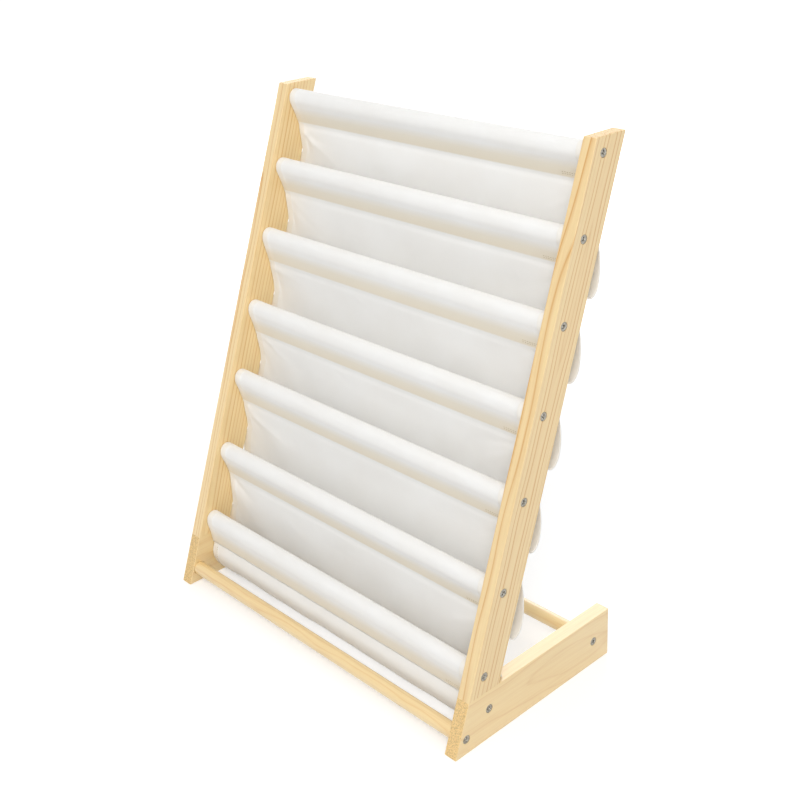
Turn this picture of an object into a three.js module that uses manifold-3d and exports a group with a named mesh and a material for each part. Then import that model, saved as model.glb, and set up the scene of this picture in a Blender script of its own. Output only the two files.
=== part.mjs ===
// Sling bookshelf for children: two leaning pine sides, joined by round rods that carry canvas pockets.
// Millimetres, +X to the viewer's right, +Y to the back, +Z up. The origin is on the floor, in the
// middle of the object's outline. Until the last lines, y is counted from the front tip of the feet.
import * as THREE from 'three';
import { mergeVertices } from 'three/addons/utils/BufferGeometryUtils.js';
import Module from 'manifold-3d';

const wasm = await Module();
wasm.setup();

// Sides
const overallWidth = 530;
const overallHeight = 660;
const boardThickness = 18;
const uprightWidth = 47;
const leanDegrees = 19.5;
const footLength = 272;
const footHeight = 65;

// Rods
const rodRadius = 9;
const socketDepth = 4;
const rodSetback = 17; // from the front edge of the upright to the axis of a sling rod
const topRodDrop = 19; // along the upright, from its top to the first rod
const bottomRodRise = 23.5; // along the upright, from the joint to the last rod
const frontStretcherSetback = 18;
const frontStretcherHeight = 20;
const lowerRodSetback = 7; // behind the axis of the last sling rod
const lowerRodDrop = 47; // below it
const rearStretcherInset = 29; // from the rear end of the foot
const rearStretcherHeight = 32;

// Screws
const screwLength = 42;
const headRadius = 4.8;
const headDepth = 2.8;
const headRim = 0.4;
const headSink = 0.2; // below the face of the board
const shankRadius = 2;
const tipLength = 5;
const crossSpan = 5.6;
const crossWidth = 1.1;
const crossDepth = 1.5;

// Joint dowels
const dowelRadius = 4;
const dowelLength = 30;
const dowelPlaceShares = [0.22, 0.78]; // of the upright's footprint on the foot

// Canvas
const clothThickness = 1;
const clothClearance = 0.35;
const clothEdgeGap = 2; // from the cloth's edge to the inner face of a side
const sleeveSlack = 3; // in front of the cloth that lies close on the rod
const sleeveTail = 26; // from the cloth round the rod down to the seam
const seamAdvance = 4; // in front of the rod's axis
const wallSetback = 3; // the hanging back wall, behind its rod's axis
const pouchDepth = 38; // from the seam down to the pocket's bottom
const floorGap = 12; // under the lowest pocket

// Fits and fineness
const fitGap = 0.3;
const cutOverrun = 2;
const rodSides = 24;
const screwSides = 12;
const dowelSides = 12;
const spanSteps = 3; // of the cloth, between two points of its outline

// The steps from one sling rod to the next, as shares of the way from the first rod to the last.
const rodStepShares = [0.158, 0.162, 0.17, 0.165, 0.178, 0.167];

// Turns over the rod, from its rear to its front, on which the cloth lies close, as shares of a full turn.
const wrapTurnShares = [0, 0.09, 0.17, 0.25, 0.32];

// Rear of a sleeve, from the seam up: shares of the wrap's radius to the back and of the seam's drop.
const sleeveRearShares = [[0.12, 0.8], [0.55, 0.5], [0.9, 0.2]];

// Front of a sleeve, from the rod down: shares of the bulge to the front and of the seam's drop.
const sleeveFrontShares = [[0.82, -0.13], [1, 0.08], [0.94, 0.33], [0.75, 0.56], [0.49, 0.8]];

// Back wall under a seam: shares of its setback behind the rod and of the pouch's depth below the seam.
const wallShares = [[-0.3, 0.28], [0.8, 0.65], [1, 1.12]];

// Bottom of a pocket, from the back wall to the front: shares of its width behind the front rod's axis
// and of the pouch's depth below the seam.
const bottomShares = [
  [1, -0.42], [0.95, 0.28], [0.79, 0.79], [0.5, 1], [0.25, 0.8], [0.13, 0.49], [0.03, 0.22],
];
const lastBottomShares = [
  [1, -0.46], [0.97, 0.22], [0.81, 0.75], [0.46, 1], [0.12, 0.9], [-0.07, 0.63], [-0.12, 0.34],
];

// Worked out from the sizes above
const lean = THREE.MathUtils.degToRad(leanDegrees);
const sine = Math.sin(lean);
const cosine = Math.cos(lean);
const tangent = Math.tan(lean);
const innerWidth = overallWidth - 2 * boardThickness;
const footprint = uprightWidth / cosine;
const jointFront = footHeight * tangent;
const topFront = overallHeight * tangent;
const overallDepth = Math.max(footLength, topFront + footprint);
const clothWidth = innerWidth - 2 * clothEdgeGap;
const ply = clothThickness + clothClearance;
const wrapRadius = rodRadius + clothClearance + clothThickness / 2;
const sleeveBulge = wrapRadius + sleeveSlack;
const seamDrop = wrapRadius + sleeveTail;

// Finishes
const pine = new THREE.MeshStandardMaterial({ color: '#edd09c', roughness: 0.6, metalness: 0 });
const rodPine = new THREE.MeshStandardMaterial({ color: '#efd5a4', roughness: 0.55, metalness: 0 });
const beech = new THREE.MeshStandardMaterial({ color: '#d9b483', roughness: 0.7, metalness: 0 });
const steel = new THREE.MeshStandardMaterial({ color: '#a9a79f', roughness: 0.35, metalness: 1 });
const canvas = new THREE.MeshStandardMaterial({ color: '#efede7', roughness: 0.95, metalness: 0 });

// Turns a shape's plane into the side plane: x becomes y, y becomes z, and the extrusion runs along x.
const sidePlane = new THREE.Matrix4().makeBasis(
  new THREE.Vector3(0, 1, 0),
  new THREE.Vector3(0, 0, 1),
  new THREE.Vector3(1, 0, 0),
);

function toSolid(geometry) {
  const bare = geometry.clone();
  bare.deleteAttribute('normal');
  bare.deleteAttribute('uv');
  const welded = mergeVertices(bare);
  const index = welded.index.array;
  const triangles = [];
  for (let i = 0; i < index.length; i += 3) {
    const [a, b, c] = [index[i], index[i + 1], index[i + 2]];
    if (a !== b && b !== c && c !== a) triangles.push(a, b, c);
  }
  return new wasm.Manifold(new wasm.Mesh({
    numProp: 3,
    vertProperties: Float32Array.from(welded.attributes.position.array),
    triVerts: Uint32Array.from(triangles),
  }));
}

function toGeometry(solid) {
  const mesh = solid.getMesh();
  const geometry = new THREE.BufferGeometry();
  geometry.setAttribute('position', new THREE.BufferAttribute(mesh.vertProperties, 3));
  geometry.setIndex(new THREE.BufferAttribute(mesh.triVerts, 1));
  geometry.computeVertexNormals();
  return geometry;
}

function cut(geometry, cutters) {
  let solid = toSolid(geometry);
  for (const cutter of cutters) solid = solid.subtract(toSolid(cutter));
  return toGeometry(solid);
}

function addMesh(group, name, geometry, material) {
  const mesh = new THREE.Mesh(geometry, material);
  mesh.name = name;
  group.add(mesh);
  return mesh;
}

// A slab with its outline in the side plane, centred on x = 0.
function slab(points, thickness) {
  const geometry = new THREE.ExtrudeGeometry(new THREE.Shape(points), {
    depth: thickness,
    bevelEnabled: false,
    steps: 1,
  });
  return geometry.translate(0, 0, -thickness / 2).applyMatrix4(sidePlane);
}

// A round bar along x, centred on x = 0.
function bar(radius, length, sides) {
  return new THREE.CylinderGeometry(radius, radius, length, sides).rotateZ(Math.PI / 2);
}

// Rod axes in the side plane, as (y, z)
function onUpright(alongFrontEdge) {
  return new THREE.Vector2(
    alongFrontEdge * sine + rodSetback * cosine,
    alongFrontEdge * cosine - rodSetback * sine,
  );
}

const firstRod = overallHeight / cosine + rodSetback * tangent - topRodDrop;
const lastRod = footHeight / cosine + rodSetback * tangent + bottomRodRise;
const slingRods = [];
let alongFrontEdge = firstRod;
for (const stepShare of [0, ...rodStepShares]) {
  alongFrontEdge -= stepShare * (firstRod - lastRod);
  slingRods.push(onUpright(alongFrontEdge));
}
const lowerRod = slingRods.at(-1).clone().add(new THREE.Vector2(lowerRodSetback, -lowerRodDrop));
const frontStretcher = new THREE.Vector2(frontStretcherSetback, frontStretcherHeight);
const rearStretcher = new THREE.Vector2(footLength - rearStretcherInset, rearStretcherHeight);

// A screw's profile is turned about y, which points out of the board, with the board's face at 0.
function turned(points) {
  return new THREE.LatheGeometry(points.map(([x, y]) => new THREE.Vector2(x, y)), screwSides);
}

function screwBody() {
  const top = -headSink;
  const body = turned([
    [0, -screwLength],
    [shankRadius, tipLength - screwLength],
    [shankRadius, top - headDepth],
    [headRadius, top - headRim],
    [headRadius, top],
    [0, top],
  ]);
  const slots = [[crossSpan, crossWidth], [crossWidth, crossSpan]].map(([x, z]) => (
    new THREE.BoxGeometry(x, crossDepth + cutOverrun, z).translate(0, top + (cutOverrun - crossDepth) / 2, 0)
  ));
  return cut(body, slots);
}

// The hole that a screw leaves in a board: a countersink and a clear way for its shank.
function screwHole(side, axis) {
  const seat = -headSink - fitGap;
  const hole = turned([
    [0, -boardThickness - cutOverrun],
    [shankRadius + fitGap, -boardThickness - cutOverrun],
    [shankRadius + fitGap, seat - headDepth],
    [headRadius + fitGap, seat - headRim],
    [headRadius + fitGap, cutOverrun],
    [0, cutOverrun],
  ]);
  return hole.rotateZ(-side * Math.PI / 2).translate(side * overallWidth / 2, axis.x, axis.y);
}

// The shallow socket that holds the end of a rod.
function socket(side, axis) {
  const length = socketDepth + cutOverrun;
  const middle = innerWidth / 2 + (socketDepth - cutOverrun) / 2;
  return bar(rodRadius + fitGap, length, rodSides).translate(side * middle, axis.x, axis.y);
}

function boardMiddle(side) {
  return side * (overallWidth - boardThickness) / 2;
}

const dowelPlaces = dowelPlaceShares.map((share) => jointFront + share * footprint);

function dowelHole(side, y) {
  const radius = dowelRadius + fitGap;
  return new THREE.CylinderGeometry(radius, radius, dowelLength + 2 * fitGap, dowelSides)
    .rotateX(Math.PI / 2)
    .translate(boardMiddle(side), y, footHeight);
}

function board(side, outline, axes) {
  const cutters = [];
  for (const axis of axes) cutters.push(socket(side, axis), screwHole(side, axis));
  for (const y of dowelPlaces) cutters.push(dowelHole(side, y));
  const points = outline.map(([y, z]) => new THREE.Vector2(y, z));
  return cut(slab(points, boardThickness).translate(boardMiddle(side), 0, 0), cutters);
}

function upright(side) {
  return board(side, [
    [jointFront, footHeight],
    [jointFront + footprint, footHeight],
    [topFront + footprint, overallHeight],
    [topFront, overallHeight],
  ], slingRods);
}

function foot(side) {
  return board(side, [
    [0, 0],
    [footLength, 0],
    [footLength, footHeight],
    [jointFront, footHeight],
  ], [lowerRod, frontStretcher, rearStretcher]);
}

function rod() {
  const length = innerWidth + 2 * (socketDepth - fitGap);
  const reach = screwLength - boardThickness + socketDepth;
  const pilots = [-1, 1].map((side) => (
    bar(shankRadius + fitGap, 2 * reach, screwSides).translate(side * length / 2, 0, 0)
  ));
  return cut(bar(rodRadius, length, rodSides), pilots);
}

// Cloth in the side plane
function seamPoint(rodAxis, layer) {
  return rodAxis.clone().add(new THREE.Vector2(layer * ply - seamAdvance, -seamDrop));
}

function sleevePoints(rodAxis) {
  const at = (y, z) => rodAxis.clone().add(new THREE.Vector2(y, z));
  return [
    seamPoint(rodAxis, 1),
    ...sleeveRearShares.map(([back, drop]) => at(back * wrapRadius, -drop * seamDrop)),
    ...wrapTurnShares.map((turn) => at(
      wrapRadius * Math.cos(turn * 2 * Math.PI),
      wrapRadius * Math.sin(turn * 2 * Math.PI),
    )),
    ...sleeveFrontShares.map(([front, drop]) => at(-front * sleeveBulge, -drop * seamDrop)),
    seamPoint(rodAxis, 0),
  ];
}

function pocketPoints(rearRod, frontRod, shares, depth) {
  const width = rearRod.x + wallSetback - frontRod.x;
  return [
    ...wallShares.map(([back, drop]) => (
      rearRod.clone().add(new THREE.Vector2(back * wallSetback, -seamDrop - drop * pouchDepth))
    )),
    ...shares.map(([back, drop]) => (
      frontRod.clone().add(new THREE.Vector2(back * width, -seamDrop - drop * depth))
    )),
    seamPoint(frontRod, 2),
  ];
}

// A sheet of cloth that follows the points, with its thickness half to each side.
function sheet(points) {
  const curve = new THREE.SplineCurve(points);
  const steps = spanSteps * (points.length - 1);
  const near = [];
  const far = [];
  for (let i = 0; i <= steps; i += 1) {
    const along = curve.getTangent(i / steps);
    const across = new THREE.Vector2(-along.y, along.x).multiplyScalar(clothThickness / 2);
    const middle = curve.getPoint(i / steps);
    near.push(middle.clone().add(across));
    far.unshift(middle.clone().sub(across));
  }
  return slab([...near, ...far], clothWidth);
}

// Assembly
const shelf = new THREE.Group();

for (const [sideName, side] of [['left', -1], ['right', 1]]) {
  addMesh(shelf, `${sideName}_upright`, upright(side), pine);
  addMesh(shelf, `${sideName}_foot`, foot(side), pine);
  dowelPlaces.forEach((y, i) => {
    const dowel = new THREE.CylinderGeometry(dowelRadius, dowelRadius, dowelLength, dowelSides);
    const mesh = addMesh(shelf, `${sideName}_joint_dowel_${i + 1}`, dowel, beech);
    mesh.rotation.x = Math.PI / 2;
    mesh.position.set(boardMiddle(side), y, footHeight);
  });
}

const rodAxes = {
  ...Object.fromEntries(slingRods.map((axis, i) => [`sling_rod_${i + 1}`, axis])),
  lower_rod: lowerRod,
  front_stretcher: frontStretcher,
  rear_stretcher: rearStretcher,
};

for (const [name, axis] of Object.entries(rodAxes)) {
  addMesh(shelf, name, rod(), rodPine).position.set(0, axis.x, axis.y);
  for (const [sideName, side] of [['left', -1], ['right', 1]]) {
    const screw = addMesh(shelf, `${name}_${sideName}_screw`, screwBody(), steel);
    screw.rotation.z = -side * Math.PI / 2;
    screw.position.set(side * overallWidth / 2, axis.x, axis.y);
  }
}

for (let i = 0; i + 1 < slingRods.length; i += 1) {
  const [rearRod, frontRod] = [slingRods[i], slingRods[i + 1]];
  const last = i + 2 === slingRods.length;
  const shares = last ? lastBottomShares : bottomShares;
  const depth = last ? frontRod.y - seamDrop - floorGap : pouchDepth;
  const points = [...sleevePoints(rearRod), ...pocketPoints(rearRod, frontRod, shares, depth)];
  addMesh(shelf, `sling_${i + 1}`, sheet(points), canvas);
}
addMesh(shelf, 'lower_hem', sheet(sleevePoints(slingRods.at(-1))), canvas);

shelf.position.y = -overallDepth / 2;

const bookshelf = new THREE.Group();
bookshelf.add(shelf);
export default bookshelf;
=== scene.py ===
# Sling bookshelf: pine sides and rods, canvas pockets, cross-recess screws
import math
import random

import bmesh
import bpy
from mathutils import Matrix, Quaternion, Vector, noise


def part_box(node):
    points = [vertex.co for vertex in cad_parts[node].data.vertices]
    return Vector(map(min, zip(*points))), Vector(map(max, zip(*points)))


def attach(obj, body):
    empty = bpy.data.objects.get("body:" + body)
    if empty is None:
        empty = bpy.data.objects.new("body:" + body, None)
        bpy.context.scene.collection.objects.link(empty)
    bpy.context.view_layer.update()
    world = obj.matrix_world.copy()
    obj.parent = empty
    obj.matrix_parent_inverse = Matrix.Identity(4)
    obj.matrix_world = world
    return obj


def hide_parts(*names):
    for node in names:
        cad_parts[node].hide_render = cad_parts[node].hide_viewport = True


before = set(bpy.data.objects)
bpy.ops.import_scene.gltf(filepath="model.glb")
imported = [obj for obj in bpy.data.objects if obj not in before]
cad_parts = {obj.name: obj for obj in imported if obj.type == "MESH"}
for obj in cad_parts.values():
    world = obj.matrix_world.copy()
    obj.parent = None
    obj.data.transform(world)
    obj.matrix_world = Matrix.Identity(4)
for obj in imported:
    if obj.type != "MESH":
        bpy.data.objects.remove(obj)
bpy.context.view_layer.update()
sides = {"left": -1, "right": 1}
slingRods = [f"sling_rod_{i}" for i in range(1, 8)]
footRods = ["lower_rod", "front_stretcher", "rear_stretcher"]
allRods = [*slingRods, *footRods]


def srgb(hexColour):
    parts = [int(hexColour[i:i + 2], 16) / 255 for i in (1, 3, 5)]
    linear = [p / 12.92 if p <= 0.04045 else ((p + 0.055) / 1.055) ** 2.4 for p in parts]
    return (*linear, 1)


def grey(value):
    return (value, value, value, 1)


def clamp(value, low=0):
    return max(low, min(1, value))


def newMaterial(name):
    material = bpy.data.materials.new(name)
    material.use_nodes = True
    material.node_tree.nodes.clear()
    return material


def addNode(tree, kind, inputs=None, **settings):
    # among the inputs, a socket or a node's first output is linked, and any other value is set
    node = tree.nodes.new(kind)
    for key, value in settings.items():
        setattr(node, key, value)
    for key, value in (inputs or {}).items():
        if isinstance(value, bpy.types.Node):
            value = value.outputs[0]
        if isinstance(value, bpy.types.NodeSocket):
            tree.links.new(value, node.inputs[key])
        else:
            node.inputs[key].default_value = value
    return node


def setRamp(node, stops):
    ramp = node.color_ramp
    while len(ramp.elements) < len(stops):
        ramp.elements.new(0.5)
    for element, (place, colour) in zip(ramp.elements, stops):
        element.position = place
        element.color = colour
    return node


def addPiece(name, bm, material, node, smoothAngle=None):
    mesh = bpy.data.meshes.new(name)
    bm.to_mesh(mesh)
    bm.free()
    if smoothAngle:
        mesh.shade_smooth()
        mesh.set_sharp_from_angle(angle=math.radians(smoothAngle))
    piece = bpy.data.objects.new(name, mesh)
    bpy.context.collection.objects.link(piece)
    mesh.materials.append(material)
    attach(piece, "root")
    if node:
        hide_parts(node)
    return piece


def cutAway(bm, cutters):
    # returns a new bmesh: bm less the cutters' solid
    scene = bpy.context.scene
    body, tool = (bpy.data.meshes.new(part) for part in ("body", "tool"))
    bm.to_mesh(body)
    cutters.to_mesh(tool)
    bodyObject, toolObject = (bpy.data.objects.new(m.name, m) for m in (body, tool))
    scene.collection.objects.link(bodyObject)
    scene.collection.objects.link(toolObject)
    cut = bodyObject.modifiers.new("cut", "BOOLEAN")
    cut.object = toolObject
    cut.operation = "DIFFERENCE"
    cut.solver = "EXACT"
    cut.use_self = True
    left = bodyObject.evaluated_get(bpy.context.evaluated_depsgraph_get()).to_mesh()
    result = bmesh.new()
    result.from_mesh(left)
    for part in (bodyObject, toolObject):
        bpy.data.objects.remove(part)
    for mesh in (body, tool):
        bpy.data.meshes.remove(mesh)
    bm.free()
    cutters.free()
    return result


def alongX(centre):
    # turns local z to x and moves to the place
    return Matrix.Translation(centre) @ Matrix.Rotation(math.pi / 2, 4, "Y")


def nodeCentre(node):
    low, high = (Vector(corner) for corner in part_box(node))
    return (low + high) / 2


# Camera, at the photograph's place
camera = {
    "place": (1.0595, -0.9306, 0.9675),
    "azimuth": 47.27,
    "elevation": 20.95,
    "roll": -2.44,
    "lens": 56.47,
    "shiftY": -0.1125,
    "clip": (0.05, 50),
}


def makeCamera(settings):
    azimuth, elevation = (math.radians(settings[key]) for key in ("azimuth", "elevation"))
    ahead = Vector((
        -math.sin(azimuth) * math.cos(elevation),
        math.cos(azimuth) * math.cos(elevation),
        -math.sin(elevation),
    ))
    data = bpy.data.cameras.new("camera")
    data.lens = settings["lens"]
    data.shift_y = settings["shiftY"]
    data.clip_start, data.clip_end = settings["clip"]
    viewer = bpy.data.objects.new("camera", data)
    viewer.location = settings["place"]
    viewer.rotation_mode = "QUATERNION"
    roll = Quaternion((0, 0, 1), math.radians(settings["roll"]))
    viewer.rotation_quaternion = ahead.to_track_quat("-Z", "Y") @ roll
    bpy.context.collection.objects.link(viewer)
    bpy.context.scene.camera = viewer


makeCamera(camera)
print("camera placed")


# Studio: a pale floor, an even room and soft boxes
studio = {
    "floorSize": 60,
    "floorAlbedo": 0.8,
    "glow": (0.33, 0.66),  # of the floor as it is seen, near the object and far off
    "glowReach": (0.6, 1.7),
    "roomStrength": 0.53,
    "softBoxes": [
        {"name": "overhead", "place": (0.1, -0.4, 3.2), "size": 2.4, "watts": 7},
        {"name": "front", "place": (1.8, -2.0, 2.6), "size": 1.6, "watts": 62},
        {"name": "back", "place": (-2.3, 2.1, 1.5), "size": 2.4, "watts": 44},
    ],
    "aim": (0, 0, 0.3),
}


def seenRay(tree):
    # 1 for rays that carry the picture of the background, 0 for those that light the object
    path = addNode(tree, "ShaderNodeLightPath")
    seen = path.outputs["Is Camera Ray"]
    for kind in ("Is Glossy Ray", "Is Transmission Ray"):
        seen = addNode(tree, "ShaderNodeMath", {0: seen, 1: path.outputs[kind]}, operation="MAXIMUM")
    return seen


def makeRoom(settings):
    room = bpy.data.worlds.new("room")
    room.use_nodes = True
    tree = room.node_tree
    tree.nodes.clear()
    strength = addNode(tree, "ShaderNodeMapRange", {
        "Value": seenRay(tree), "To Min": settings["roomStrength"], "To Max": 1,
    })
    white = addNode(tree, "ShaderNodeBackground", {"Color": grey(1), "Strength": strength})
    addNode(tree, "ShaderNodeOutputWorld", {"Surface": white})
    bpy.context.scene.world = room


def makeFloor(settings):
    # Matt pale paint, with no gloss. The lamps light the floor near the object, so it glows less there:
    # it looks white and still keeps the shadow.
    paint = newMaterial("pale_floor_paint")
    tree = paint.node_tree
    matt = addNode(tree, "ShaderNodeBsdfDiffuse", {"Color": grey(settings["floorAlbedo"])})
    place = addNode(tree, "ShaderNodeTexCoord")
    away = addNode(tree, "ShaderNodeVectorMath", {0: place.outputs["Object"]}, operation="LENGTH")
    strength = addNode(tree, "ShaderNodeMapRange", {
        "Value": away.outputs["Value"],
        "From Min": settings["glowReach"][0], "From Max": settings["glowReach"][1],
        "To Min": settings["glow"][0], "To Max": settings["glow"][1],
    })
    glow = addNode(tree, "ShaderNodeEmission", {"Color": grey(1), "Strength": strength})
    seen = addNode(tree, "ShaderNodeAddShader", {0: matt, 1: glow})
    surface = addNode(tree, "ShaderNodeMixShader", {0: seenRay(tree), 1: matt, 2: seen})
    addNode(tree, "ShaderNodeOutputMaterial", {"Surface": surface})
    bm = bmesh.new()
    bmesh.ops.create_grid(bm, x_segments=1, y_segments=1, size=settings["floorSize"] / 2)
    mesh = bpy.data.meshes.new("floor")
    bm.to_mesh(mesh)
    bm.free()
    mesh.materials.append(paint)
    floor = bpy.data.objects.new("floor", mesh)
    bpy.context.collection.objects.link(floor)


def makeLamps(settings):
    for box in settings["softBoxes"]:
        data = bpy.data.lights.new(box["name"], "AREA")
        data.size = box["size"]
        data.energy = box["watts"]
        lamp = bpy.data.objects.new(box["name"], data)
        lamp.location = box["place"]
        aim = Vector(settings["aim"]) - lamp.location
        lamp.rotation_mode = "QUATERNION"
        lamp.rotation_quaternion = aim.to_track_quat("-Z", "Y")
        bpy.context.collection.objects.link(lamp)


makeRoom(studio)
makeFloor(studio)
makeLamps(studio)
bpy.context.scene.view_settings.view_transform = "Standard"
print("studio lit")


# Planed pine under clear matt varnish: pale early wood, amber late wood, pitted end grain, and a coat
# that turns faces seen at a slant paler.
# Rings run round a pith beside the board, so long faces show lines and cut ends show arcs.
# Annual rings are 4 to 6 mm wide. The sizes of noise are in waves a metre: bundles of fibres are drawn
# 1 mm wide and 60 mm long and the open ends of fibres 1.6 mm wide, because at their real size of
# 0.03 mm neither would show.
pineLook = {
    "earlyWood": "#EFD39A",
    "lateWood": "#D29A48",
    "endGrain": "#EAC789",
    "tone": 1.0,
    "lateShare": 1.0,
    "ringWidth": 0.0042,
    "ringRamp": [(0.0, 0.3), (0.1, 0.06), (0.55, 0.03), (0.84, 0.35), (0.95, 1), (1.0, 0.3)],
    "ringContrast": 0.75,
    "wander": 0.006,
    "wanderSize": (9, 9, 1.1),
    "fibreSize": (900, 900, 16),
    "fibreShare": 0.6,
    "streakSize": (240, 240, 5),
    "streakShare": 0.45,
    "middle": 0.45,
    "cloudSize": (14, 14, 2.5),
    "cloudShare": 0.12,
    "endSlant": (0.7, 0.92),
    "endShare": 0.85,
    "endLateShare": 0.6,
    "pitSize": (620, 620, 300),
    "pitRange": (0.4, 0.54),
    "pitShades": (0.68, 1.06),
    "roughness": 0.45,
    "fibreRoughness": 0.16,
    "endRoughness": 0.2,
    "coat": 1,
    "coatLossAtEnds": 0.8,
    "relief": {"fibres": 0.6, "late": 0.5, "ends": 1.6},
}


def makePine(name, turn, **changes):
    look = {**pineLook, **changes}
    material = newMaterial(name)
    tree = material.node_tree
    place = addNode(tree, "ShaderNodeTexCoord")
    rotation = [math.radians(angle) for angle in turn]
    grain = addNode(tree, "ShaderNodeMapping", {
        "Vector": place.outputs["Object"],
        "Rotation": rotation,
        "Location": (-look["pith"][0], -look["pith"][1], 0),
    })
    facing = addNode(tree, "ShaderNodeMapping", {
        "Vector": place.outputs["Normal"], "Rotation": rotation,
    }, vector_type="NORMAL")

    def alongGrain(size, detail=3, roughness=0.5):
        scaled = addNode(tree, "ShaderNodeMapping", {"Vector": grain, "Scale": size})
        return addNode(tree, "ShaderNodeTexNoise", {
            "Vector": scaled, "Scale": 1, "Detail": detail, "Roughness": roughness,
        })

    # rings: the distance from the pith, made uneven, and each ring with a strength of its own
    across = addNode(tree, "ShaderNodeVectorMath", {0: grain, 1: (1, 1, 0)}, operation="MULTIPLY")
    radius = addNode(tree, "ShaderNodeVectorMath", {0: across}, operation="LENGTH")
    wander = addNode(tree, "ShaderNodeMath", {
        0: alongGrain(look["wanderSize"], 2), 1: look["wander"], 2: radius.outputs["Value"],
    }, operation="MULTIPLY_ADD")
    rings = addNode(tree, "ShaderNodeMath", {0: wander, 1: look["ringWidth"]}, operation="DIVIDE")
    ringPart = addNode(tree, "ShaderNodeMath", {0: rings}, operation="FRACT")
    ringCount = addNode(tree, "ShaderNodeMath", {0: rings}, operation="FLOOR")
    chance = addNode(tree, "ShaderNodeTexWhiteNoise", {"W": ringCount}, noise_dimensions="1D")
    ringStrength = addNode(tree, "ShaderNodeMath", {
        0: chance, 1: look["ringContrast"], 2: 1 - look["ringContrast"],
    }, operation="MULTIPLY_ADD")
    late = setRamp(addNode(tree, "ShaderNodeValToRGB", {"Fac": ringPart}), [
        (stop, grey(value)) for stop, value in look["ringRamp"]
    ])
    late = addNode(tree, "ShaderNodeMath", {0: late, 1: ringStrength}, operation="MULTIPLY")
    late = addNode(tree, "ShaderNodeMath", {0: late, 1: look["lateShare"]}, operation="MULTIPLY")
    fibres = alongGrain(look["fibreSize"], 4, 0.6)
    streaks = alongGrain(look["streakSize"], 3, 0.6)
    for pattern, share in ((streaks, look["streakShare"]), (fibres, look["fibreShare"])):
        centred = addNode(tree, "ShaderNodeMath", {0: pattern, 1: look["middle"]}, operation="SUBTRACT")
        late = addNode(tree, "ShaderNodeMath", {0: centred, 1: share, 2: late}, operation="MULTIPLY_ADD")
    wood = addNode(tree, "ShaderNodeMix", {
        "Factor": late, 6: srgb(look["earlyWood"]), 7: srgb(look["lateWood"]),
    }, data_type="RGBA", clamp_factor=True).outputs[2]

    # cut ends: darker, with the open ends of the fibres
    slant = addNode(tree, "ShaderNodeSeparateXYZ", {0: facing}).outputs["Z"]
    slant = addNode(tree, "ShaderNodeMath", {0: slant}, operation="ABSOLUTE")
    isEnd = addNode(tree, "ShaderNodeMapRange", {
        "Value": slant, "From Min": look["endSlant"][0], "From Max": look["endSlant"][1],
    })
    pitted = alongGrain(look["pitSize"], 3, 0.75)
    pits = addNode(tree, "ShaderNodeMapRange", {
        "Value": pitted,
        "From Min": look["pitRange"][0], "From Max": look["pitRange"][1],
        "To Min": look["pitShades"][0], "To Max": look["pitShades"][1],
    })
    endLate = addNode(tree, "ShaderNodeMath", {0: late, 1: look["endLateShare"]}, operation="MULTIPLY")
    endWood = addNode(tree, "ShaderNodeMix", {
        "Factor": endLate, 6: srgb(look["endGrain"]), 7: srgb(look["lateWood"]),
    }, data_type="RGBA", clamp_factor=True).outputs[2]
    endWood = addNode(tree, "ShaderNodeVectorMath", {0: endWood, "Scale": pits}, operation="SCALE")
    endShare = addNode(tree, "ShaderNodeMath", {0: isEnd, 1: look["endShare"]}, operation="MULTIPLY")
    wood = addNode(tree, "ShaderNodeMix", {
        "Factor": endShare, 6: wood, 7: endWood,
    }, data_type="RGBA").outputs[2]
    shade = addNode(tree, "ShaderNodeMath", {
        0: alongGrain(look["cloudSize"], 2),
        1: look["cloudShare"],
        2: look["tone"] - look["cloudShare"] / 2,
    }, operation="MULTIPLY_ADD")
    wood = addNode(tree, "ShaderNodeVectorMath", {0: wood, "Scale": shade}, operation="SCALE")

    # relief: late wood and fibres stand up a little, and cut ends are rough
    share = look["relief"]
    endPits = addNode(tree, "ShaderNodeMath", {0: isEnd, 1: pitted}, operation="MULTIPLY")
    raised = addNode(tree, "ShaderNodeMath", {0: fibres, 1: share["fibres"]}, operation="MULTIPLY")
    raised = addNode(tree, "ShaderNodeMath", {
        0: late, 1: share["late"], 2: raised,
    }, operation="MULTIPLY_ADD")
    raised = addNode(tree, "ShaderNodeMath", {
        0: endPits, 1: share["ends"], 2: raised,
    }, operation="MULTIPLY_ADD")
    bump = addNode(tree, "ShaderNodeBump", {"Height": raised, "Strength": 0.25, "Distance": 0.00025})
    roughness = addNode(tree, "ShaderNodeMath", {
        0: fibres, 1: look["fibreRoughness"], 2: look["roughness"] - look["fibreRoughness"] / 2,
    }, operation="MULTIPLY_ADD")
    roughness = addNode(tree, "ShaderNodeMath", {
        0: isEnd, 1: look["endRoughness"], 2: roughness,
    }, operation="MULTIPLY_ADD")
    coat = addNode(tree, "ShaderNodeMath", {
        0: isEnd, 1: -look["coatLossAtEnds"], 2: look["coat"],
    }, operation="MULTIPLY_ADD")
    surface = addNode(tree, "ShaderNodeBsdfPrincipled", {
        "Base Color": wood, "Roughness": roughness, "Normal": bump, "IOR": 1.5,
        "Coat Weight": coat, "Coat Roughness": 0.3, "Coat IOR": 1.7,
    })
    addNode(tree, "ShaderNodeOutputMaterial", {"Surface": surface})
    return material


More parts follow.
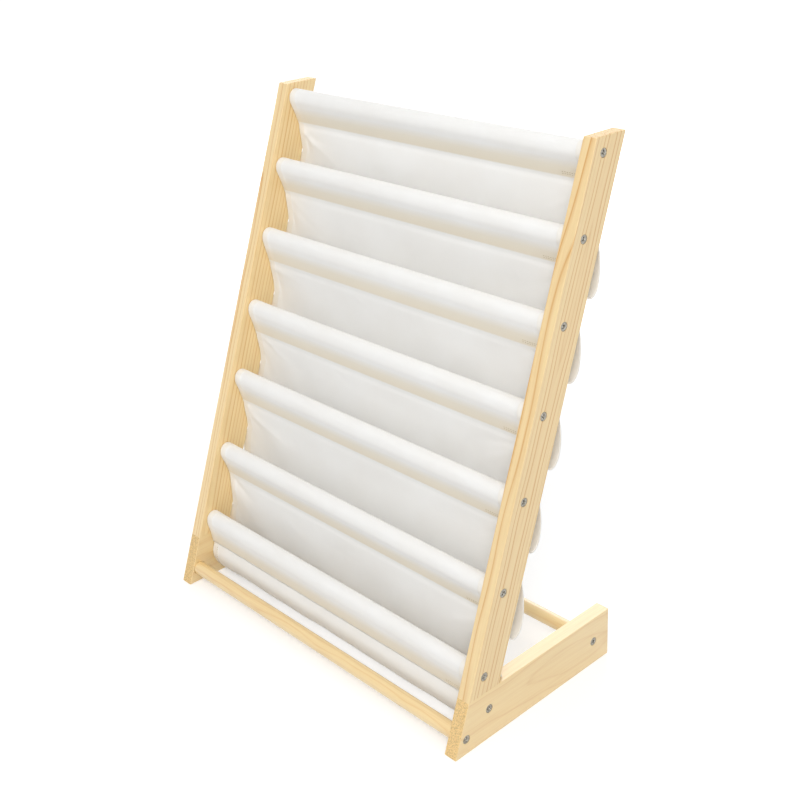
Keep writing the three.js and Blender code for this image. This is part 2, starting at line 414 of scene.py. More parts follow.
# Sides: uprights and feet. Skew is how far the grain turns from the board's own line, in degrees.
boards = {
    "lean": 19.5,
    "uprightWidth": 0.047,
    "uprightSkew": 0.7,
    "footSkew": 1.5,
    "easedEdge": 0.0011,
    "jointEdge": 0.0003,
    "socketDepth": 0.004,
    "socketGap": 0.0002,
    "headSink": 0.0003,
    "headGap": 0.0003,
    "near": 0.00001,
    "looks": {
        "left_upright": {
            "pith": (-0.262, -0.135),
            "ringWidth": 0.0047,
            "wander": 0.016,
            "wanderSize": (9, 9, 3),
            "tone": 1.05,
        },
        "right_upright": {
            "pith": (0.268, -0.115),
            "ringWidth": 0.0055,
            "wander": 0.018,
            "wanderSize": (9, 9, 3),
            "lateShare": 1.4,
        },
        "left_foot": {
            "pith": (-0.31, -0.03),
            "ringWidth": 0.0062,
            "wander": 0.02,
            "wanderSize": (9, 9, 5),
            "lateShare": 0.45,
        },
        "right_foot": {
            "pith": (0.315, -0.035),
            "ringWidth": 0.0062,
            "wander": 0.022,
            "wanderSize": (9, 9, 5),
            "lateShare": 0.42,
            "tone": 1.04,
        },
    },
}

# Countersunk screws. Shares are of the cross's span and width, at the bottom and the top of its recess.
screw = {
    "headRadius": 0.0052,
    "headDepth": 0.0028,
    "headRim": 0.0004,
    "rimEase": (0.0002, 0.00006),
    "shankRadius": 0.002,
    "length": 0.042,
    "tip": 0.005,
    "steps": 40,
    "crossSpan": 0.0066,
    "spanShares": (0.35, 1.06),
    "crossWidth": 0.0016,
    "widthShares": (0.8, 1.05),
    "wellShares": (0.5, 1.2),
    "wellSteps": 16,
    "crossDepth": 0.002,
    "crossClear": 0.0003,
    "wayClear": 0.001,
    "smoothAngle": 30,
}


def countersink(settings, gap):
    # a cone below the face and a clear way above it, turned about z, with the board's face at 0
    s = settings
    return turned([
        (0, -s["length"]),
        (s["shankRadius"] + gap, -s["length"]),
        (s["shankRadius"] + gap, -s["headDepth"] - boards["headSink"] - gap),
        (s["headRadius"] + gap, -s["headRim"] - boards["headSink"] - gap),
        (s["headRadius"] + gap, s["wayClear"]),
        (0, s["wayClear"]),
    ], s["steps"])


def turned(profile, steps):
    bm = bmesh.new()
    points = [bm.verts.new((r, 0, z)) for r, z in profile]
    for a, b in zip(points, points[1:]):
        bm.edges.new((a, b))
    bmesh.ops.spin(
        bm, geom=[*bm.verts, *bm.edges], cent=(0, 0, 0), axis=(0, 0, 1), dvec=(0, 0, 0),
        angle=2 * math.pi, steps=steps, use_merge=True,
    )
    bmesh.ops.remove_doubles(bm, verts=bm.verts, dist=1e-7)
    bmesh.ops.recalc_face_normals(bm, faces=bm.faces)
    return bm


def addTo(bm, other, matrix):
    mesh = bpy.data.meshes.new("part")
    other.to_mesh(mesh)
    other.free()
    mesh.transform(matrix)
    bm.from_mesh(mesh)
    bpy.data.meshes.remove(mesh)


def rodBar(radius, length, steps, chamfer):
    bm = bmesh.new()
    bmesh.ops.create_cone(
        bm, cap_ends=True, segments=steps, radius1=radius, radius2=radius, depth=length,
    )
    if chamfer:
        rims = [e for e in bm.edges if abs(e.verts[0].co.z - e.verts[1].co.z) < 1e-7]
        bmesh.ops.bevel(
            bm, geom=rims, offset=chamfer, affect="EDGES", segments=2, profile=0.5, material=-1,
        )
    return bm


def outward(side, centre):
    # local z points out of the board's outer face
    turn = Matrix.Rotation(side * math.pi / 2, 4, "Y")
    return Matrix.Translation(centre) @ turn


def makeBoard(name, outline, side, rods, material):
    low, high = (Vector(corner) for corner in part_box(name))
    bm = bmesh.new()
    face = bm.faces.new([bm.verts.new((low.x, y, z)) for y, z in outline])
    made = bmesh.ops.extrude_face_region(bm, geom=[face])["geom"]
    shift = (high.x - low.x, 0, 0)
    bmesh.ops.translate(bm, verts=[v for v in made if isinstance(v, bmesh.types.BMVert)], vec=shift)
    bmesh.ops.recalc_face_normals(bm, faces=bm.faces)

    # edges at the joint stay nearly sharp, so that the boards meet
    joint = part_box(name.replace("foot", "upright"))[0][2]
    isAtJoint = lambda e: all(abs(v.co.z - joint) < boards["near"] for v in e.verts)
    others = [e for e in bm.edges if not isAtJoint(e)]
    bmesh.ops.bevel(
        bm, geom=others, offset=boards["easedEdge"], affect="EDGES", segments=4, profile=0.5,
        material=-1,
    )
    atJoint = [e for e in bm.edges if isAtJoint(e) and e.calc_face_angle(0) > 1]
    bmesh.ops.bevel(
        bm, geom=atJoint, offset=boards["jointEdge"], affect="EDGES", segments=2, profile=0.5,
        material=-1,
    )
    cutters = bmesh.new()
    inner, outer = (low.x, high.x) if side > 0 else (high.x, low.x)
    for rod in rods:
        centre = nodeCentre(rod)
        low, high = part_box(rod)
        radius = (high[2] - low[2]) / 2 + boards["socketGap"]
        socket = rodBar(radius, 2 * boards["socketDepth"], rodForm["steps"], 0)
        addTo(cutters, socket, alongX((inner, centre.y, centre.z)))
        hole = countersink(screw, boards["headGap"])
        addTo(cutters, hole, outward(side, (outer, centre.y, centre.z)))
    bm = cutAway(bm, cutters)
    return addPiece(f"{name}_board", bm, material, name)


def makeSides():
    lean = math.radians(boards["lean"])
    footprint = boards["uprightWidth"] / math.cos(lean)
    for sideName, side in sides.items():
        name = f"{sideName}_upright"
        low, high = (Vector(corner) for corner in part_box(name))
        outline = [
            (low.y, low.z), (low.y + footprint, low.z), (high.y, high.z), (high.y - footprint, high.z),
        ]
        turn = (boards["lean"] + boards["uprightSkew"] * side, 0, 0)
        pine = makePine(f"planed_pine_{name}", turn, **boards["looks"][name])
        makeBoard(name, outline, side, slingRods, pine)

        name = f"{sideName}_foot"
        low, high = (Vector(corner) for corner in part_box(name))
        tip = low.y + high.z * math.tan(lean)
        outline = [(low.y, low.z), (high.y, low.z), (high.y, high.z), (tip, high.z)]
        turn = (90 + boards["footSkew"] * side, 0, 0)
        pine = makePine(f"planed_pine_{name}", turn, **boards["looks"][name])
        makeBoard(name, outline, side, footRods, pine)


# Rods, turned from pine, with paler and wider rings than the boards
rodForm = {
    "chamfer": 0.0008,
    "steps": 64,
    "cuts": 60,
    "unevenness": 0.00006,
    "unevenSize": (20, 40),
    "smoothAngle": 35,
    "look": {
        "pith": (0.05, 0.31),
        "tone": 1.04,
        "ringWidth": 0.0052,
        "wander": 0.02,
        "wanderSize": (9, 9, 7),
        "lateShare": 0.45,
    },
}


def makeRods():
    pine = makePine("turned_pine_rods", (0, -90, 0), **rodForm["look"])
    sizeAlong, sizeAround = rodForm["unevenSize"]
    for name in allRods:
        low, high = (Vector(corner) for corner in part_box(name))
        bm = rodBar((high.z - low.z) / 2, high.x - low.x, rodForm["steps"], rodForm["chamfer"])
        long = [e for e in bm.edges if abs(e.verts[0].co.z - e.verts[1].co.z) > 0.1]
        bmesh.ops.subdivide_edges(bm, edges=long, cuts=rodForm["cuts"])
        for v in bm.verts:
            flat = Vector((v.co.x, v.co.y, 0))
            wave = noise.noise(Vector((v.co.z * sizeAlong, low.y * sizeAround, low.z * sizeAround)))
            if flat.length > 0.001:
                v.co += flat.normalized() * wave * rodForm["unevenness"]
        bmesh.ops.transform(bm, matrix=alongX((low + high) / 2), verts=bm.verts)
        addPiece(f"{name}_dowel", bm, pine, name, rodForm["smoothAngle"])


makeSides()
print("sides made")
makeRods()
print("rods made")


# Zinc-plated steel, pressed and tumbled: grey, fairly smooth, in soft clouds about 2 mm wide
zincLook = {"dark": "#7E7B73", "light": "#B9B5AB", "cloudScale": 500, "roughness": (0.26, 0.46)}


def makeZinc():
    look = zincLook
    material = newMaterial("zinc_plated_steel")
    tree = material.node_tree
    place = addNode(tree, "ShaderNodeTexCoord")
    cloud = addNode(tree, "ShaderNodeTexNoise", {
        "Vector": place.outputs["Object"], "Scale": look["cloudScale"], "Detail": 4, "Roughness": 0.6,
    })
    tint = setRamp(addNode(tree, "ShaderNodeValToRGB", {"Fac": cloud}), [
        (0.35, srgb(look["dark"])), (0.65, srgb(look["light"])),
    ])
    rough = addNode(tree, "ShaderNodeMapRange", {
        "Value": cloud, "To Min": look["roughness"][0], "To Max": look["roughness"][1],
    })
    bump = addNode(tree, "ShaderNodeBump", {"Height": cloud, "Strength": 0.2, "Distance": 0.0001})
    surface = addNode(tree, "ShaderNodeBsdfPrincipled", {
        "Base Color": tint, "Metallic": 1.0, "Roughness": rough, "Normal": bump,
    })
    addNode(tree, "ShaderNodeOutputMaterial", {"Surface": surface})
    return material


def crossRecess(settings, top):
    # two tapered arms and the round well where they cross
    s = settings
    cross = bmesh.new()
    for turn in (0, math.pi / 2):
        arm = bmesh.new()
        bmesh.ops.create_cube(arm, size=1)
        for v in arm.verts:
            level = 0 if v.co.z < 0 else 1
            v.co.x *= s["crossSpan"] * s["spanShares"][level]
            v.co.y *= s["crossWidth"] * s["widthShares"][level]
            v.co.z = (top - s["crossDepth"], top + s["crossClear"])[level]
        addTo(cross, arm, Matrix.Rotation(turn, 4, "Z"))
    well = bmesh.new()
    bmesh.ops.create_cone(
        well, cap_ends=True, segments=s["wellSteps"], depth=s["crossDepth"] + s["crossClear"],
        radius1=s["crossWidth"] * s["wellShares"][0], radius2=s["crossWidth"] * s["wellShares"][1],
    )
    addTo(cross, well, Matrix.Translation((0, 0, top + (s["crossClear"] - s["crossDepth"]) / 2)))
    return cross


def makeScrews():
    zinc = makeZinc()
    s = screw
    top = -boards["headSink"]
    body = turned([
        (0, -s["length"]),
        (s["shankRadius"], s["tip"] - s["length"]),
        (s["shankRadius"], top - s["headDepth"]),
        (s["headRadius"], top - s["headRim"]),
        (s["headRadius"] - s["rimEase"][0], top - s["rimEase"][1]),
        (s["headRadius"] * 0.5, top),
        (0, top),
    ], s["steps"])
    body = cutAway(body, crossRecess(s, top))
    shared = bpy.data.meshes.new("screw")
    body.to_mesh(shared)
    body.free()
    pick = random.Random(4)
    for name in allRods:
        for sideName, side in sides.items():
            node = f"{name}_{sideName}_screw"
            low, high = (Vector(corner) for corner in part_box(node))
            face = (high.x if side > 0 else low.x) + side * boards["headSink"]
            bm = bmesh.new()
            bm.from_mesh(shared)
            turn = Matrix.Rotation(pick.uniform(0, math.pi / 2), 4, "Z")
            place = outward(side, (face, (low.y + high.y) / 2, (low.z + high.z) / 2))
            bmesh.ops.transform(bm, matrix=place @ turn, verts=bm.verts)
            addPiece(f"{node}_steel", bm, zinc, node, s["smoothAngle"])
    bpy.data.meshes.remove(shared)


makeScrews()
print("screws made")


# Canvas, sewn from panels that meet under each rod. Advances and setbacks are fitted rod by rod.
# Shares are of the sleeve's and the pocket's own width and height, in the plane of the side view.
canvas = {
    "thickness": 0.0009,
    "hemThickness": 0.0013,
    "clearance": 0.0004,
    "edgeGap": 0.0007,
    "sleeveSlack": 0.0004,
    "sleeveTail": 0.026,
    "seamAdvances": [-0.002, -0.0015, 0.002, 0.001, 0, -0.001, 0.004],
    "wallSetbacks": [0.0045, 0.004, 0.002, 0.002, 0.004, 0.003],
    "flareSlope": 1.5,
    "flareStart": 0.0012,
    "flareLimit": 0.015,
    "flareFade": (0.0006, 0.0008),
    "flareReach": 0.06,
    "pouchDepth": 0.038,
    "floorGap": 0.008,
    "layer": 0.00135,
    "wrapTurnShares": [0, 0.09, 0.17, 0.25, 0.33, 0.42, 0.49],
    "sleeveRearShares": [(0.4, 0.8), (0.72, 0.5), (0.94, 0.2)],
    "sleeveFrontShares": [(0.97, 0.13), (0.76, 0.31), (0.5, 0.5), (0.23, 0.75)],
    "wallShares": [(0.4, 0.28), (0.8, 0.65), (1, 1.12)],
    "bottomShares": [
        (1, -0.42), (0.95, 0.28), (0.79, 0.79), (0.5, 1), (0.25, 0.8), (0.13, 0.49), (0.03, 0.22),
    ],
    "lastBottomShares": [
        (1, -0.46), (0.97, 0.22), (0.81, 0.75), (0.46, 1), (0.12, 0.9), (-0.07, 0.63), (-0.12, 0.34),
    ],
    "curveSteps": 40,
    "stepAlong": 0.0024,
    "stepAcross": 0.0036,
    "sideHem": 0.011,
    "hemMargin": 0.0002,
    "hemColumns": (0.0004, 0.004, 0.0075),
    "edgeColumn": 0.0006,
    "hemStitch": 0.0015,
    "seamStitch": 0.002,
    "tackRows": (1, 2),
    "tackedColumns": 13,
    # height of the band above each seam that is tinted as painted shade under the sleeve, partly doubled
    # cloth
    "doubledAndShadedBand": 0.025,
    "seamAllowance": 0.012,
    "threadPitch": 0.0034,
    "threadLength": 0.0026,
    "threadRadius": 0.00035,
    "threadFlatness": 0.8,
    "threadLift": 0.0001,
    "threadSmoothAngle": 60,
}
uprightTop = Vector(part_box("left_upright")[1])
clothHalf = -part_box("left_foot")[1][0] - canvas["edgeGap"]


def smoothLine(points):
    # a curve through the points, resampled at even steps: place and length so far
    fine = []
    padded = [points[0] * 2 - points[1], *points, points[-1] * 2 - points[-2]]
    for a, b, c, d in zip(padded, padded[1:], padded[2:], padded[3:]):
        for i in range(canvas["curveSteps"]):
            t = i / canvas["curveSteps"]
            square = (2 * a - 5 * b + 4 * c - d) * t * t
            cube = (3 * b - 3 * c + d - a) * t ** 3
            fine.append(0.5 * (2 * b + (c - a) * t + square + cube))
    fine.append(points[-1])
    lengths = [0]
    for a, b in zip(fine, fine[1:]):
        lengths.append(lengths[-1] + (b - a).length)
    count = round(lengths[-1] / canvas["stepAlong"])
    line, j = [], 0
    for i in range(count + 1):
        goal = lengths[-1] * i / count
        while j < len(fine) - 2 and lengths[j + 1] < goal:
            j += 1
        t = (goal - lengths[j]) / (lengths[j + 1] - lengths[j])
        line.append((fine[j].lerp(fine[j + 1], t), goal))
    return line


def sleevePoints(axis, radius, advance):
    # up behind the rod, over it and down its front to the seam
    c = canvas
    wrap = radius + c["clearance"] + c["thickness"] / 2
    drop = wrap + c["sleeveTail"]
    at = lambda y, z: axis + Vector((y, z))
    points = [at(c["layer"] - advance, -drop)]
    points += [at(back * wrap, -down * drop) for back, down in c["sleeveRearShares"]]
    for share in c["wrapTurnShares"]:
        turn = share * 2 * math.pi
        points.append(at(wrap * math.cos(turn), wrap * math.sin(turn)))
    full = wrap + c["sleeveSlack"] - advance
    points += [at(-advance - front * full, -down * drop) for front, down in c["sleeveFrontShares"]]
    points.append(at(-advance, -drop))
    return points, drop


def pocketPoints(rear, front, drop, shares, depth, setback, advances):
    # the wall runs from the rear rod's seam to its setback, the bottom to the front rod's seam
    c = canvas
    width = rear.x + setback - front.x
    points = []
    for back, down in c["wallShares"]:
        off = -advances[0] + back * (setback + advances[0])
        points.append(rear + Vector((off, -drop - down * c["pouchDepth"])))
    last = 2 * c["layer"] - advances[1]
    for back, down in shares:
        points.append(front + Vector((last + back * (width - last), -drop - down * depth)))
    points.append(front + Vector((last, -drop)))
    return points


# Creases: some run in from both ends of a seam, and a few short ones lie anywhere on the wall
creaseForm = {
    "height": 0.0014,
    "rise": 8,
    "ends": {
        "count": 5,
        "slant": (8, 26),
        "fan": 15,
        "fromEdge": (0, 0.012),
        "fromSeam": (0.002, 0.02),
        "length": (0.035, 0.1),
        "width": (0.0035, 0.006),
        "heightShare": (0.5, 1),
    },
    "loose": {
        "count": 4,
        "slant": (-70, 70),
        "across": (-0.8, 0.8),
        "fromSeam": (0.01, 0.04),
        "length": (0.03, 0.07),
        "width": (0.004, 0.007),
        "heightShare": 0.35,
    },
}


def makeCreases(half, seam, seed):
    pick = random.Random(seed)
    creases = []
    ends, loose = creaseForm["ends"], creaseForm["loose"]
    for side in (-1, 1):
        for i in range(ends["count"]):
            slant = math.radians(pick.uniform(*ends["slant"]) + ends["fan"] * i)
            creases.append({
                "start": Vector((
                    side * (half - pick.uniform(*ends["fromEdge"])), seam + pick.uniform(*ends["fromSeam"]),
                )),
                "along": Vector((-side * math.cos(slant), math.sin(slant))),
                "length": pick.uniform(*ends["length"]),
                "width": pick.uniform(*ends["width"]),
                "height": pick.choice((-1, 1)) * pick.uniform(*ends["heightShare"]) * creaseForm["height"],
            })
    for i in range(loose["count"]):
        slant = math.radians(pick.uniform(*loose["slant"]))
        creases.append({
            "start": Vector((
                pick.uniform(*loose["across"]) * half, seam + pick.uniform(*loose["fromSeam"]),
            )),
            "along": Vector((math.sin(slant), math.cos(slant))),
            "length": pick.uniform(*loose["length"]),
            "width": pick.uniform(*loose["width"]),
            "height": pick.choice((-1, 1)) * loose["heightShare"] * creaseForm["height"],
        })
    return creases


# Unevenness of the cloth. Each ripple has waves a metre across and along, a shift that makes every
# sling different, and a height. Zones are where one starts after the seam, and over what length.
unevenness = {
    "broad": (7, 9, 3.1, 0.0026),
    "middling": (22, 16, 5.7, 0.0009),
    "slack": (13, 40, 2.3, 0.0005),
    "wallZone": (0.004, 0.03),
    "creaseZone": (0.001, 0.006),
    "endZone": 0.02,
    "sleeveZone": (0.016, 0.014),
    "calmZone": (0.09, 0.03),
    "calmShare": 0.35,
    "dragReach": 0.06,
    "dragWaves": (60, 75),
    "dragWander": (9, 2),
    "dragHeight": 0.0011,
    "dragOnSleeve": 0.35,
    "rollPlace": 0.0035,
    "rollWidth": 0.0028,
    "rollHeight": 0.0007,
    "puckerPitch": 0.011,
    "puckerWander": (30, 3),
    "puckerHeight": 0.0002,
    "puckerReach": 0.004,
}


def ripple(kind, x, s, seed):
    across, along, shift, height = unevenness[kind]
    return noise.noise(Vector((x * across, s * along, seed * shift))) * height


def crumple(x, s, seam, end, half, seed, creases):
    # how far the cloth stands off its smooth line, at x across and s along it
    u = unevenness
    beforeEnd = clamp((end - s) / u["endZone"])
    wall = clamp((s - seam - u["wallZone"][0]) / u["wallZone"][1]) * beforeEnd
    near = clamp((s - seam - u["creaseZone"][0]) / u["creaseZone"][1]) * beforeEnd
    sleeve = clamp(1 - abs(s - seam + u["sleeveZone"][0]) / u["sleeveZone"][1])
    calm = clamp((end - u["calmZone"][0] - s) / u["calmZone"][1], u["calmShare"])
    broad = ripple("broad", x, s, seed) * wall * calm
    middling = ripple("middling", x, s, seed) * wall
    slack = ripple("slack", x, s, seed) * sleeve

    # slanting pulls towards the ends of the seams
    drag = math.exp((abs(x) - half) / u["dragReach"])
    slant = s * u["dragWaves"][0] - (half - abs(x)) * u["dragWaves"][1]
    size, share = u["dragWander"]
    slant += share * noise.noise(Vector((x * size, s * size, seed)))
    pulled = math.sin(slant) * u["dragHeight"] * drag * (wall + u["dragOnSleeve"] * sleeve)

    # the roll of cloth under the seam, and its puckers
    roll = math.exp(-(((s - seam - u["rollPlace"]) / u["rollWidth"]) ** 2)) * u["rollHeight"]
    size, share = u["puckerWander"]
    wander = share * noise.noise(Vector((x * size, 0, seed)))
    pucker = math.sin(x * 2 * math.pi / u["puckerPitch"] + wander)
    pucker *= u["puckerHeight"] * math.exp(-abs(s - seam) / u["puckerReach"])
    folds = 0
    rise = creaseForm["rise"]
    for crease in creases:
        away = Vector((x, s)) - crease["start"]
        t = away.dot(crease["along"]) / crease["length"]
        if near > 0 and 0 < t < 1:
            aside = (away.x * crease["along"].y - away.y * crease["along"].x) / crease["width"]
            folds += crease["height"] * math.exp(-aside * aside) * (1 - t) * min(1, rise * t) * near
    return broad + middling + (pulled + folds) * calm + slack + roll + pucker


def clothColumns(half):
    # even steps across, with close ones at the step of each side hem
    c = canvas
    inner = half - c["sideHem"]
    count = round(2 * inner / c["stepAcross"])
    columns = [-inner + 2 * inner * i / count for i in range(count + 1)]
    hem = [*(inner + step for step in c["hemColumns"]), half - c["edgeColumn"], half]
    return [-x for x in reversed(hem)] + columns + hem


def flareAt(place):
    # behind the uprights the cloth lies a little past their inner faces
    c = canvas
    rearEdge = uprightTop.y - (uprightTop.z - place.y) * math.tan(math.radians(boards["lean"]))
    over = place.x - rearEdge
    fade = clamp((over - c["flareFade"][0]) / c["flareFade"][1])
    limit = c["flareLimit"]
    return limit * math.tanh((c["flareStart"] + over * c["flareSlope"]) / limit) * fade


def clothPiece(name, node, points, seam, material, seed):
    # the cloth, its line and columns, and a function that gives a place on it or above it
    c = canvas
    line = smoothLine(points)
    half = clothHalf
    columns = clothColumns(half)
    end = line[-1][1]
    normals = []
    for i in range(len(line)):
        ahead = line[min(i + 1, len(line) - 1)][0] - line[max(i - 1, 0)][0]
        normals.append(Vector((-ahead.y, ahead.x)).normalized())
    creases = makeCreases(half, seam, seed) if end > seam else []

    def laid(x, row, lift=0):
        place, s = line[row]
        spot = place + normals[row] * crumple(x, s, seam, end, half, seed, creases)
        reach = max(0, c["flareReach"] - (half - abs(x))) / c["flareReach"]
        flare = math.copysign(flareAt(spot) * reach ** 2, x)
        spot += normals[row] * lift
        return Vector((x + flare, spot.x, spot.y))

    bm = bmesh.new()
    bmesh.ops.create_grid(bm, x_segments=len(columns) - 1, y_segments=len(line) - 1, size=1)
    uv = bm.loops.layers.uv.new("cloth")
    spots = {}
    for v in bm.verts:
        col = round((v.co.x + 1) / 2 * (len(columns) - 1))
        row = round((v.co.y + 1) / 2 * (len(line) - 1))
        spots[v] = (columns[col], row)
    for face in bm.faces:
        for loop in face.loops:
            x, row = spots[loop.vert]
            loop[uv].uv = (x, line[row][1] - seam)
    for v, (x, row) in spots.items():
        v.co = laid(x, row)
    bmesh.ops.recalc_face_normals(bm, faces=bm.faces)
    piece = addPiece(name, bm, material, node)
    piece.data.shade_smooth()
    hemStart = half - c["sideHem"] + c["hemMargin"]
    hems = piece.vertex_groups.new(name="hems")
    hems.add([v.index for v in piece.data.vertices if abs(v.co.x) > hemStart], 1, "REPLACE")
    wall = piece.modifiers.new("thickness", "SOLIDIFY")
    wall.thickness = c["hemThickness"]
    wall.vertex_group = "hems"
    wall.thickness_vertex_group = c["thickness"] / c["hemThickness"]
    wall.offset = 0
    wall.use_even_offset = False
    return piece, line, columns, laid


def stitchRow(bm, path, ups):
    # thread stitches laid end to end along a path on the cloth
    c = canvas
    size = Matrix.Diagonal((
        c["threadLength"] / 2, c["threadRadius"], c["threadRadius"] * c["threadFlatness"], 1,
    ))
    travelled = 0
    for start, end, up in zip(path, path[1:], ups):
        run = (end - start).length
        along = (end - start).normalized()
        side = up.cross(along).normalized()
        turn = Matrix((along, side, along.cross(side))).transposed().to_4x4()
        step = -travelled % c["threadPitch"]
        while step < run:
            place = Matrix.Translation(start + along * step) @ turn @ size
            bmesh.ops.create_icosphere(bm, subdivisions=1, radius=1, matrix=place)
            step += c["threadPitch"]
        travelled += run


# Woven cotton canvas, plain weave of about 0.5 mm threads: matt, off-white, with soft uneven threads.
# The threads are drawn 0.9 mm wide, or they wouldn't show, and they are uneven over about 4 mm.
# Light comes through it a little. Above each seam and at the side hems it is tinted warmer and darker:
# partly the doubled cloth there, and partly painted shade under each sleeve and along the hem edges.
canvasLook = {
    "tints": ("#F6F4F0", "#F9F8F5"),
    # this tint and the ramp below paint shade under each sleeve and along the hems, partly the doubled
    # cloth
    "doubledAndShadedTint": "#ECE2CE",
    "doubledAndShadedRamp": [(0.0, 0), (0.45, 0.8), (0.9, 1), (0.97, 0)],
    "hemShare": 0.25,
    "hemBlend": 0.0008,
    "threadDrawn": 0.0009,
    "unevenScale": 260,
    "unevenShare": 0.8,
    "blotchScale": 14,
    "weaveShade": (0.012, 0.99),
}


def makeCanvas():
    c, look = canvas, canvasLook
    material = newMaterial("cotton_canvas")
    tree = material.node_tree
    cloth = addNode(tree, "ShaderNodeUVMap", uv_map="cloth")
    waves = 1 / (2 * look["threadDrawn"])
    scaled = addNode(tree, "ShaderNodeMapping", {"Vector": cloth, "Scale": (waves, waves, 1)})
    parts = addNode(tree, "ShaderNodeSeparateXYZ", {0: scaled})
    threads = []
    for axis in ("X", "Y"):
        turns = addNode(tree, "ShaderNodeMath", {
            0: parts.outputs[axis], 1: 2 * math.pi,
        }, operation="MULTIPLY")
        threads.append(addNode(tree, "ShaderNodeMath", {0: turns}, operation="SINE"))
    weave = addNode(tree, "ShaderNodeMath", {0: threads[0], 1: threads[1]}, operation="MULTIPLY")
    uneven = addNode(tree, "ShaderNodeTexNoise", {
        "Vector": cloth, "Scale": look["unevenScale"], "Detail": 2,
    })
    weave = addNode(tree, "ShaderNodeMath", {
        0: uneven, 1: look["unevenShare"], 2: weave,
    }, operation="MULTIPLY_ADD")
    blotch = addNode(tree, "ShaderNodeTexNoise", {
        "Vector": cloth, "Scale": look["blotchScale"], "Detail": 3,
    })
    tint = setRamp(addNode(tree, "ShaderNodeValToRGB", {"Fac": blotch}), [
        (0.3, srgb(look["tints"][0])), (0.7, srgb(look["tints"][1])),
    ])

    # painted shade: a warmer, darker band above the seam and at the side hems, partly the doubled cloth
    # there
    flat = addNode(tree, "ShaderNodeSeparateXYZ", {0: cloth})
    height = addNode(tree, "ShaderNodeMath", {
        0: flat.outputs["Y"], 1: 1 / c["doubledAndShadedBand"], 2: 1,
    }, operation="MULTIPLY_ADD")
    above = setRamp(addNode(tree, "ShaderNodeValToRGB", {"Fac": height}), [
        (stop, grey(value)) for stop, value in look["doubledAndShadedRamp"]
    ])
    fromMiddle = addNode(tree, "ShaderNodeMath", {0: flat.outputs["X"]}, operation="ABSOLUTE")
    hemStart = clothHalf - c["sideHem"]
    atHem = addNode(tree, "ShaderNodeMapRange", {
        "Value": fromMiddle, "From Min": hemStart, "From Max": hemStart + look["hemBlend"],
    })
    atHem = addNode(tree, "ShaderNodeMath", {0: atHem, 1: look["hemShare"]}, operation="MULTIPLY")
    doubledAndShadedBand = addNode(tree, "ShaderNodeMath", {0: above, 1: atHem}, operation="MAXIMUM")
    # the painted shade is mixed into the cloth's own tint here
    tint = addNode(tree, "ShaderNodeMix", {
        "Factor": doubledAndShadedBand, 6: tint, 7: srgb(look["doubledAndShadedTint"]),
    }, data_type="RGBA", clamp_factor=True).outputs[2]
    shade = addNode(tree, "ShaderNodeMath", {
        0: weave, 1: look["weaveShade"][0], 2: look["weaveShade"][1],
    }, operation="MULTIPLY_ADD")
    tint = addNode(tree, "ShaderNodeVectorMath", {0: tint, "Scale": shade}, operation="SCALE")
    bump = addNode(tree, "ShaderNodeBump", {"Height": weave, "Strength": 0.25, "Distance": 0.00015})
    surface = addNode(tree, "ShaderNodeBsdfPrincipled", {
        "Base Color": tint, "Roughness": 0.9, "Normal": bump,
        "Specular IOR Level": 0.25, "Sheen Weight": 0.15, "Sheen Roughness": 0.5,
        "Subsurface Weight": 0.4, "Subsurface Radius": (1, 1, 1), "Subsurface Scale": 0.0015,
    })
    addNode(tree, "ShaderNodeOutputMaterial", {"Surface": surface})
    return material


# Spun polyester thread, 0.7 mm thick as sewn: straw-coloured, with flecks of its twist 0.3 mm apart
threadLook = {"dark": "#B3A27C", "light": "#CBBD9B", "twistScale": 3000, "roughness": 0.6}


def makeThread():
    look = threadLook
    material = newMaterial("polyester_thread")
    tree = material.node_tree
    place = addNode(tree, "ShaderNodeTexCoord")
    twist = addNode(tree, "ShaderNodeTexNoise", {
        "Vector": place.outputs["Object"], "Scale": look["twistScale"],
    })
    tint = setRamp(addNode(tree, "ShaderNodeValToRGB", {"Fac": twist}), [
        (0.3, srgb(look["dark"])), (0.7, srgb(look["light"])),
    ])
    surface = addNode(tree, "ShaderNodeBsdfPrincipled", {
        "Base Color": tint, "Roughness": look["roughness"],
    })
    addNode(tree, "ShaderNodeOutputMaterial", {"Surface": surface})
    return material


def sewThreads(line, columns, laid, seam):
    # the seam inside the sleeve, short tacks on its front at the right end, and both side hems
    c = canvas
    stitches = bmesh.new()
    lift = c["thickness"] / 2 + c["threadLift"]
    row = min(range(len(line)), key=lambda j: abs(line[j][1] - seam + c["seamStitch"]))
    path = [laid(x, row, lift) for x in columns[1:-1]]
    stitchRow(stitches, path, [laid(x, row, lift + 1) - laid(x, row, lift) for x in columns[1:-1]])
    tacked = columns[-c["tackedColumns"]:-1]
    for step in c["tackRows"]:
        path = [laid(x, row - step, -lift) for x in tacked]
        stitchRow(stitches, path, [laid(x, row, 0) - laid(x, row, 1) for x in tacked])
    lift = c["hemThickness"] / 2 + c["threadLift"]
    rows = range(2, len(line) - 2)
    for x in (c["sideHem"] - c["hemStitch"] - clothHalf, clothHalf - c["sideHem"] + c["hemStitch"]):
        path = [laid(x, row, lift) for row in rows]
        stitchRow(stitches, path, [laid(x, row, lift + 1) - laid(x, row, lift) for row in rows])
    return stitches


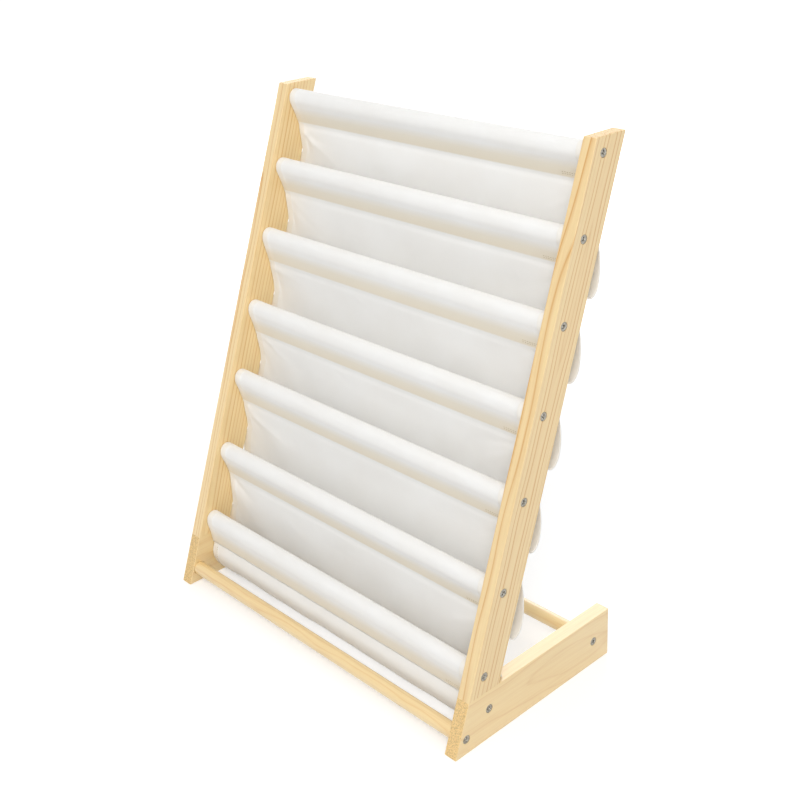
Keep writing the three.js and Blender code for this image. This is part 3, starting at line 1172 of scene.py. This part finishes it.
def makeSlings():
    c = canvas
    cloth = makeCanvas()
    thread = makeThread()
    axes = [Vector(nodeCentre(rod).yz) for rod in slingRods]
    low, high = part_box(slingRods[0])
    radius = (high[2] - low[2]) / 2
    for i, axis in enumerate(axes):
        sleeve, drop = sleevePoints(axis, radius, c["seamAdvances"][i])
        seam = smoothLine(sleeve)[-1][1]
        last = i == len(axes) - 1
        if last:
            name, node, points = "canvas_lower_hem", "lower_hem", sleeve
        else:
            front = axes[i + 1]
            lowest = i == len(axes) - 2
            shares = c["lastBottomShares"] if lowest else c["bottomShares"]
            depth = front.y - drop - c["floorGap"] if lowest else c["pouchDepth"]
            name, node = f"canvas_sling_{i + 1}", f"sling_{i + 1}"
            points = sleeve + pocketPoints(
                axis, front, drop, shares, depth, c["wallSetbacks"][i], c["seamAdvances"][i:i + 2],
            )
        piece, line, columns, laid = clothPiece(name, node, points, seam, cloth, i + 1)
        stitches = sewThreads(line, columns, laid, seam)
        seamThread = addPiece(
            f"seam_thread_{i + 1}", stitches, thread, None, c["threadSmoothAngle"],
        )


makeSlings()
print("canvas hung")


# Bare sawn beech, on the joint dowels, which keep their CAD shape: light brown, with flecks 1.4 mm wide
# and 17 mm long, drawn coarser than the real ones of 0.5 mm, or they wouldn't show
beechLook = {"dark": "#C99F6C", "light": "#DDBB8C", "fleckSize": (700, 700, 60), "roughness": 0.7}


def makeBeech():
    look = beechLook
    material = newMaterial("bare_beech")
    tree = material.node_tree
    place = addNode(tree, "ShaderNodeTexCoord")
    scaled = addNode(tree, "ShaderNodeMapping", {
        "Vector": place.outputs["Object"], "Scale": look["fleckSize"],
    })
    flecks = addNode(tree, "ShaderNodeTexNoise", {"Vector": scaled, "Scale": 1, "Detail": 3})
    tint = setRamp(addNode(tree, "ShaderNodeValToRGB", {"Fac": flecks}), [
        (0.35, srgb(look["dark"])), (0.65, srgb(look["light"])),
    ])
    surface = addNode(tree, "ShaderNodeBsdfPrincipled", {
        "Base Color": tint, "Roughness": look["roughness"],
    })
    addNode(tree, "ShaderNodeOutputMaterial", {"Surface": surface})
    return material


def dressDowels():
    beech = makeBeech()
    for name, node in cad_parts.items():
        if "joint_dowel" in name:
            node.data.materials.clear()
            node.data.materials.append(beech)


dressDowels()
print("dowels dressed")
